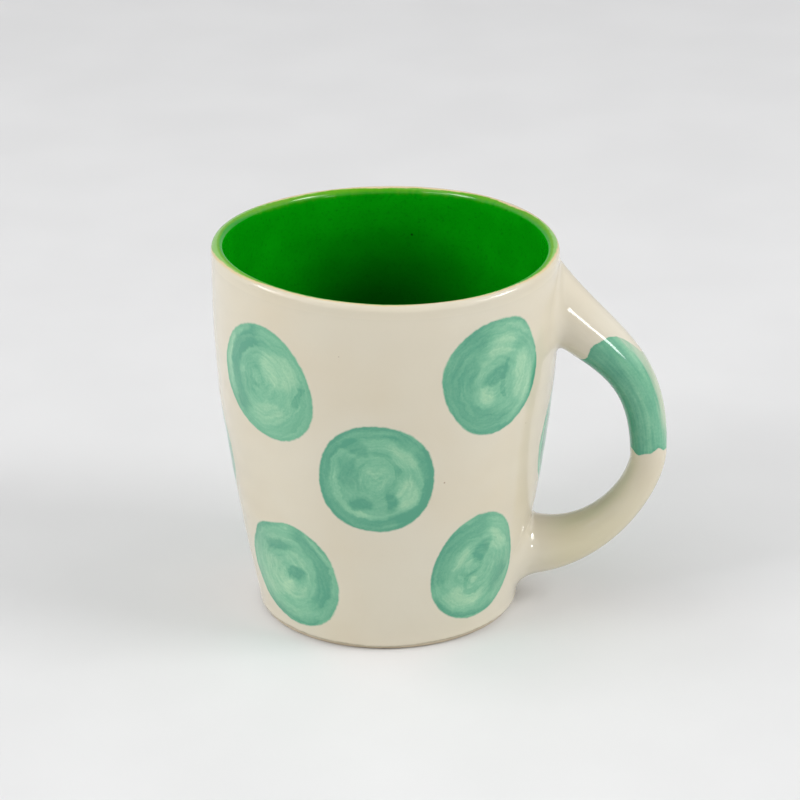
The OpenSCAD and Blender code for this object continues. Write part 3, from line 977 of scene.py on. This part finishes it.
def band_start(a):
    """The band's slanting upper end: the brush began lower on the handle's outer side and behind it."""
    behind = np.sin(a) > 0
    slant = np.where(behind, np.cos(a / 2) ** 2, np.maximum(0, np.cos(a)) ** 6)
    return BAND_FROM + BAND_SLANT * slant + 0.01 * np.sin(5 * a)


def band_end(a):
    """The band's lower end, straight across but for the brush's waver."""
    return BAND_TO + 0.008 * np.sin(3 * a + math.radians(80)) + 0.003 * np.sin(8 * a)


def lengths_along(rows):
    """Distance of each point from the start of its row."""
    steps = np.linalg.norm(np.diff(rows, axis=1), axis=2)
    return np.concatenate([np.zeros((len(rows), 1)), np.cumsum(steps, axis=1)], axis=1)


def handle_glaze():
    """The clear coat on the handle, which flares into the wall at both ends. It runs under the band."""
    a = round_angles(96)[:, 0]
    upper, upper_leave, upper_normal = joint_rings(UPPER_JOINT, a, 14)
    lower, lower_leave, lower_normal = joint_rings(LOWER_JOINT, a, 18)
    arm, _ = arm_rings(a, upper_leave, lower_leave, 110)
    front = np.concatenate([upper[:, :-1], arm, lower[:, ::-1][:, 1:]], axis=1)
    normal = grid_normals(front)
    if np.mean(normal[0, 40:60] @ (1.0, 0, 0.3)) < 0:
        normal = -normal
    normal[:, 0] = upper_normal
    normal[:, -1] = lower_normal
    sunk = np.zeros(front.shape[1])
    sunk[[0, -1]] = 0.02
    front = front - sunk[None, :, None] * normal
    points = both_sides(front, front - GLAZE_T * normal)
    return mesh_piece("handle_clear_glaze", points, True, both_sides(normal, -normal))


def handle_band():
    """The painted band as a thin sleeve round the handle, slightly longer than the paint at both ends."""
    a = round_angles(96)[:, 0]
    margin = 0.03
    start, end = band_start(a), band_end(a)
    front, s = arm_rings(a, start - margin, end + margin, 90)
    normal = grid_normals(front)
    if np.mean(normal[0, 50:80] @ (1.0, 0, 0)) < 0:
        normal = -normal
    along = lengths_along(front)
    speed = np.linalg.norm(arm_curve(bezier_slope, s)[..., :2], axis=-1)
    painted = np.minimum(s - start[:, None], end[:, None] - s) * speed
    from_end = np.minimum(along, along[:, -1:] - along)
    lift = np.where(from_end < 0.25, -SUNK, PROUD)
    turn = np.broadcast_to(a[:, None], s.shape)
    side_line = arm_point(s, np.full_like(turn, math.pi / 2))
    length = lengths_along(side_line) + PLACE_MM * start[:, None]
    grip = np.stack([length, np.cos(turn), np.sin(turn)], -1)
    points = both_sides(front + lift[..., None] * normal, front - 0.15 * normal)
    attributes = {"grip": both_sides(grip, grip), "painted": both_sides(painted, painted)}
    return mesh_piece("painted_handle_band", points, True, both_sides(normal, -normal), attributes)


# ---------- Studio: floor, lights, world and camera ----------

CAMERA_AZIMUTH = 7.0
CAMERA_ELEVATION = 23.12
CAMERA_DISTANCE = 0.7855
CAMERA_ROLL = -0.975
CAMERA_SHIFT = (0.018, 0.025)
LENS = 135.0
SENSOR_WIDTH = 36.0
MIDDLE = Vector((0, 0, CUP_H * MM / 2))  # what the camera and the lights point at


def from_camera(azimuth, elevation, distance):
    """Point at an azimuth from the camera's own direction (to the right above zero)."""
    turn, up = math.radians(azimuth + CAMERA_AZIMUTH), math.radians(elevation)
    return Vector((math.sin(turn) * math.cos(up), -math.cos(turn) * math.cos(up), math.sin(up))) * distance


# Name, azimuth from the camera, elevation, distance, width and height in metres, watts, and whether
# the light shows only as a reflection
SOFTBOXES = (
    ("right_softbox", 72, 40, 1.35, 0.54, 0.36, 6.0, False),
    ("left_softbox", -60, 38, 1.35, 0.54, 0.36, 5.0, False),
    ("top_softbox", -100, 70, 1.6, 0.8, 0.8, 4.7, False),
    ("handle_sparkle", 47.5, 15, 0.9, 0.12, 0.12, 0.70, True),
    ("right_rim_sparkle", 84, 40, 1.35, 0.36, 0.42, 11.0, True),
    ("left_rim_sparkle", -84, 38, 1.35, 0.36, 0.42, 11.0, True),
)


def softbox(name, azimuth, elevation, distance, width, height, power, only_gloss):
    """A rectangular light aimed at the mug. With only_gloss it shows as a reflection and lights nothing."""
    light = bpy.data.lights.new(name, "AREA")
    light.shape = "RECTANGLE"
    light.size, light.size_y = width, height
    light.energy = power
    lamp = bpy.data.objects.new(name, light)
    lamp.visible_diffuse = not only_gloss
    bpy.context.scene.collection.objects.link(lamp)
    lamp.location = MIDDLE + from_camera(azimuth, elevation, distance)
    lamp.rotation_euler = (MIDDLE - lamp.location).to_track_quat("-Z", "Y").to_euler()


PAPER_GREY = (0.742, 0.742, 0.747)
PAPER_PALE = (0.757, 0.757, 0.762)
FLOOR_HALF, FLOOR_DROP = 6.0, 1e-5  # in metres; the drop keeps the foot and the floor apart


def paper_material():
    """Matt pale paper with a very slight drift of tone."""
    shader = Shader("studio_paper")
    position = shader.position()
    fibre = shader.noise(position, 0.02, 3)
    colour = shader.mix(shader.fade(fibre, 0.3, 0.7), PAPER_GREY, PAPER_PALE)
    return shader.finish(colour, shader.fade(fibre, 0.3, 0.7, 0.6, 0.7))


def studio_floor():
    half, z = FLOOR_HALF, -FLOOR_DROP
    mesh = bpy.data.meshes.new("studio_floor")
    corners = [(-half, -half, z), (half, -half, z), (half, half, z), (-half, half, z)]
    mesh.from_pydata(corners, [], [(0, 1, 2, 3)])
    mesh.materials.append(paper_material())
    floor = bpy.data.objects.new("studio_floor", mesh)
    bpy.context.scene.collection.objects.link(floor)


# Brightness of the surroundings to the mug's sides, behind it, in front of it and overhead, and how
# much brighter the right side is than the middle
SKY = {"side": 1.8, "back": 0.5, "front": 0.72, "top": 0.05, "right": 0.1}
HORIZON = 0.68  # brightness close to the horizon, all round


def surroundings():
    """A world whose brightness changes softly with direction, like paper walls round a table."""
    world = bpy.data.worlds.new("studio")
    world.use_nodes = True
    sky = Nodes(world.node_tree)
    direction = sky.node("TexCoord", {}, 0)
    turn = {"Vector": direction, "Axis": (0, 0, 1), "Angle": -math.radians(CAMERA_AZIMUTH)}
    seen = sky.node("VectorRotate", turn)
    right, away, up = sky.axes(seen)
    right_2, away_2, up_2 = sky.axes(sky.vector("MULTIPLY", seen, seen))
    behind = sky.math("GREATER_THAN", away, 0.0)
    ahead = sky.math("SUBTRACT", 1.0, behind)
    shares = {
        "side": right_2,
        "back": sky.math("MULTIPLY", away_2, behind),
        "front": sky.math("MULTIPLY", away_2, ahead),
        "top": up_2,
        "right": right,
    }
    total = 0.0
    for name, share in shares.items():
        total = sky.math("MULTIPLY_ADD", share, SKY[name], total)
    strength = sky.node("Mix", {0: sky.fade(up, 0.08, 0.3), 2: HORIZON, 3: total})
    background = sky.tree.nodes["Background"]
    sky.feed(background.inputs["Color"], (1, 1, 1, 1))
    sky.feed(background.inputs["Strength"], strength)
    bpy.context.scene.world = world


def studio_camera():
    camera = bpy.data.cameras.new("camera")
    camera.lens = LENS
    camera.sensor_width = SENSOR_WIDTH
    camera.shift_x, camera.shift_y = CAMERA_SHIFT
    camera.clip_start = 0.05
    eye = bpy.data.objects.new("camera", camera)
    bpy.context.scene.collection.objects.link(eye)
    eye.location = MIDDLE + from_camera(0, CAMERA_ELEVATION, CAMERA_DISTANCE)
    look = (MIDDLE - eye.location).to_track_quat("-Z", "Y").to_matrix().to_4x4()
    roll = Matrix.Rotation(math.radians(CAMERA_ROLL), 4, "Z")
    eye.rotation_euler = (look @ roll).to_euler()
    bpy.context.scene.camera = eye
    bpy.context.scene.view_settings.view_transform = "Standard"


# ---------- Assembly ----------

clay = clay_material()
cream = cream_material()
finished(cup_body(), clay, "fired_clay", "clay_cup")
finished(wall_glaze(), exterior_material(), "cream_glaze", "exterior_glaze")
finished(inside_glaze(), interior_material(), "green_glaze", "interior_glaze")
finished(handle_glaze(), cream, "cream_glaze", "handle_glaze")
finished(handle_band(), band_material(), "teal_brushwork", "handle_brush_band")
for number, (dot, details) in enumerate(DOTS.items()):
    dot_piece(dot, *details, number)
# The handle's clay and the slip joints lie inside the glaze and keep their CAD shapes
for hidden in ("clay_handle", "upper_slip_joint", "lower_slip_joint"):
    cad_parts[hidden].data.materials.clear()
    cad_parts[hidden].data.materials.append(clay)

studio_floor()
surroundings()
for lamp in SOFTBOXES:
    softbox(*lamp)
studio_camera()
